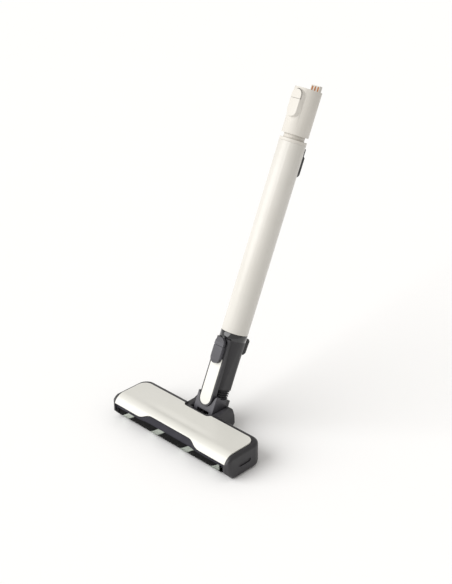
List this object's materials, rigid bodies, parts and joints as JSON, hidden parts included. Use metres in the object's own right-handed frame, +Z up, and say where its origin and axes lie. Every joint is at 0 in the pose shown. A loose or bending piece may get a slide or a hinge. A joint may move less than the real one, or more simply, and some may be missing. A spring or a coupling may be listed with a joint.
{
  "type": "cordless stick vacuum wand and powered floor head",
  "caption": "Cordless stick vacuum wand with a powered floor head: roller brush, wheels, tilting and swivelling neck, painted tube and a press-release connector.",
  "frame": {"origin": "on the floor, at the underside of the felt glide strip in the middle of the floor head", "axes": "+X across the head to its right, -Y to the front where the brush is, +Z up; the wand leans back towards +Y"},
  "size_m": [0.23, 0.2977, 0.4488],
  "materials": {
    "cover_white": "satin white moulded plastic",
    "tube_white": "satin warm white paint on aluminium",
    "wand_white": "fine-grained warm white plastic",
    "dark_shell": "fine-grained charcoal plastic",
    "dark_detail": "textured dark grey plastic",
    "gloss_collar": "polished black plastic",
    "black_rubber": "soft black rubber",
    "plush": "short grey pile",
    "bristle": "black nylon filaments",
    "brush_core": "black moulded plastic",
    "steel": "plain steel",
    "bearing_bronze": "sintered bronze",
    "contact_copper": "bare copper alloy",
    "circuit_board": "green laminate with black parts"
  },
  "bodies": {
    "floor_head": {"chassis": "dark_shell", "sole_plate": "dark_detail", "glide_strip": "plush", "top_cover": "cover_white", "front_lip": "dark_detail", "left_end_cap": "dark_shell", "sole_screws": "steel", "brush_motor": "steel", "motor_clamp": "dark_detail", "drive_belt": "black_rubber", "head_circuit_board": "circuit_board", "motor_lead": "black_rubber", "brush_bearing_left": "bearing_bronze", "brush_bearing_right": "dark_detail", "rear_axles": "steel", "front_axles": "steel", "tilt_pins": "steel"},
    "right_cap": {"right_end_cap": "dark_shell"},
    "brush": {"brush_core": "brush_core", "brush_axle": "steel", "brush_pulley": "brush_core", "plush_strips": "plush", "bristle_rows": "bristle"},
    "motor_rotor": {"motor_shaft": "steel", "motor_pulley": "brush_core"},
    "rear_wheel_left": {"rear_wheel_left": "black_rubber"},
    "rear_wheel_right": {"rear_wheel_right": "black_rubber"},
    "front_roller_left": {"front_roller_left": "black_rubber"},
    "front_roller_right": {"front_roller_right": "black_rubber"},
    "knuckle": {"knuckle_front_shell": "dark_shell", "knuckle_rear_shell": "dark_shell", "knuckle_screws": "steel", "lean_pivots": "steel", "bellows_hose": "black_rubber"},
    "neck": {"neck_body": "dark_shell", "neck_spine": "dark_shell", "neck_panel": "cover_white", "neck_screws": "steel", "neck_collar": "gloss_collar", "neck_rear_hook": "dark_detail", "neck_pad_base": "dark_detail", "neck_lever_pin": "steel", "neck_lever_spring": "steel", "neck_terminal_block": "dark_detail", "neck_terminal_pins": "contact_copper"},
    "neck_lever": {"neck_lever": "dark_detail"},
    "wand": {"wand_tube": "tube_white", "wand_lower_spigot": "dark_detail", "wand_plug": "dark_detail", "wand_top_ring": "wand_white", "wand_wire_channel": "dark_detail", "wand_leads": "black_rubber", "tube_rear_clip": "dark_detail", "connector_collar": "wand_white", "connector_housing": "wand_white", "connector_lever_pin": "steel", "connector_lever_spring": "steel", "terminal_block": "wand_white", "terminal_contacts": "contact_copper"},
    "connector_lever": {"connector_lever": "wand_white"}
  },
  "joints": [
    {"name": "head_tilt", "type": "hinge", "parent": "floor_head", "child": "knuckle", "pos_m": [0, 0.0466, 0.018], "axis": [-1, 0, 0], "range_deg": [-24.87, 55.13]},
    {"name": "neck_lean", "type": "hinge", "parent": "knuckle", "child": "neck", "pos_m": [0, 0.05711, 0.04068], "axis": [0, -0.9073, 0.4206], "range_deg": [-25, 25], "deforming": ["bellows_hose"]},
    {"name": "wand_release", "type": "slide", "parent": "neck", "child": "wand", "axis": [0, 0.4206, 0.9073], "range_m": [0, 0.03]},
    {"name": "neck_lever_press", "type": "hinge", "parent": "neck", "child": "neck_lever", "pos_m": [0, 0.07358, 0.11924], "axis": [-1, 0, 0], "range_deg": [0, 12], "stiffness_Nm_per_rad": 0.02, "springref_deg": -17.19, "deforming": ["neck_lever_spring"]},
    {"name": "connector_lever_press", "type": "hinge", "parent": "wand", "child": "connector_lever", "pos_m": [0, 0.22036, 0.43588], "axis": [-1, 0, 0], "range_deg": [0, 9], "stiffness_Nm_per_rad": 0.02, "springref_deg": -17.19, "deforming": ["connector_lever_spring"]},
    {"name": "brush_spin", "type": "hinge", "parent": "floor_head", "child": "brush", "pos_m": [0, -0.0165, 0.0155], "axis": [1, 0, 0], "continuous": true},
    {"name": "motor_spin", "type": "hinge", "parent": "floor_head", "child": "motor_rotor", "pos_m": [0, 0.013, 0.0185], "axis": [1, 0, 0], "continuous": true},
    {"name": "rear_wheel_left_spin", "type": "hinge", "parent": "floor_head", "child": "rear_wheel_left", "pos_m": [-0.0238, 0.0565, 0.0085], "axis": [1, 0, 0], "continuous": true},
    {"name": "rear_wheel_right_spin", "type": "hinge", "parent": "floor_head", "child": "rear_wheel_right", "pos_m": [0.0238, 0.0565, 0.0085], "axis": [1, 0, 0], "continuous": true},
    {"name": "front_roller_left_spin", "type": "hinge", "parent": "floor_head", "child": "front_roller_left", "pos_m": [-0.098, 0.013, 0.0045], "axis": [1, 0, 0], "continuous": true},
    {"name": "front_roller_right_spin", "type": "hinge", "parent": "floor_head", "child": "front_roller_right", "pos_m": [0.098, 0.013, 0.0045], "axis": [1, 0, 0], "continuous": true},
    {"name": "end_cap_release", "type": "slide", "parent": "floor_head", "child": "right_cap", "axis": [1, 0, 0], "range_m": [0, 0.02]}
  ],
  "couplings": [
    {"joint": "motor_spin", "follows": "brush_spin", "ratio": 1.8}
  ]
}
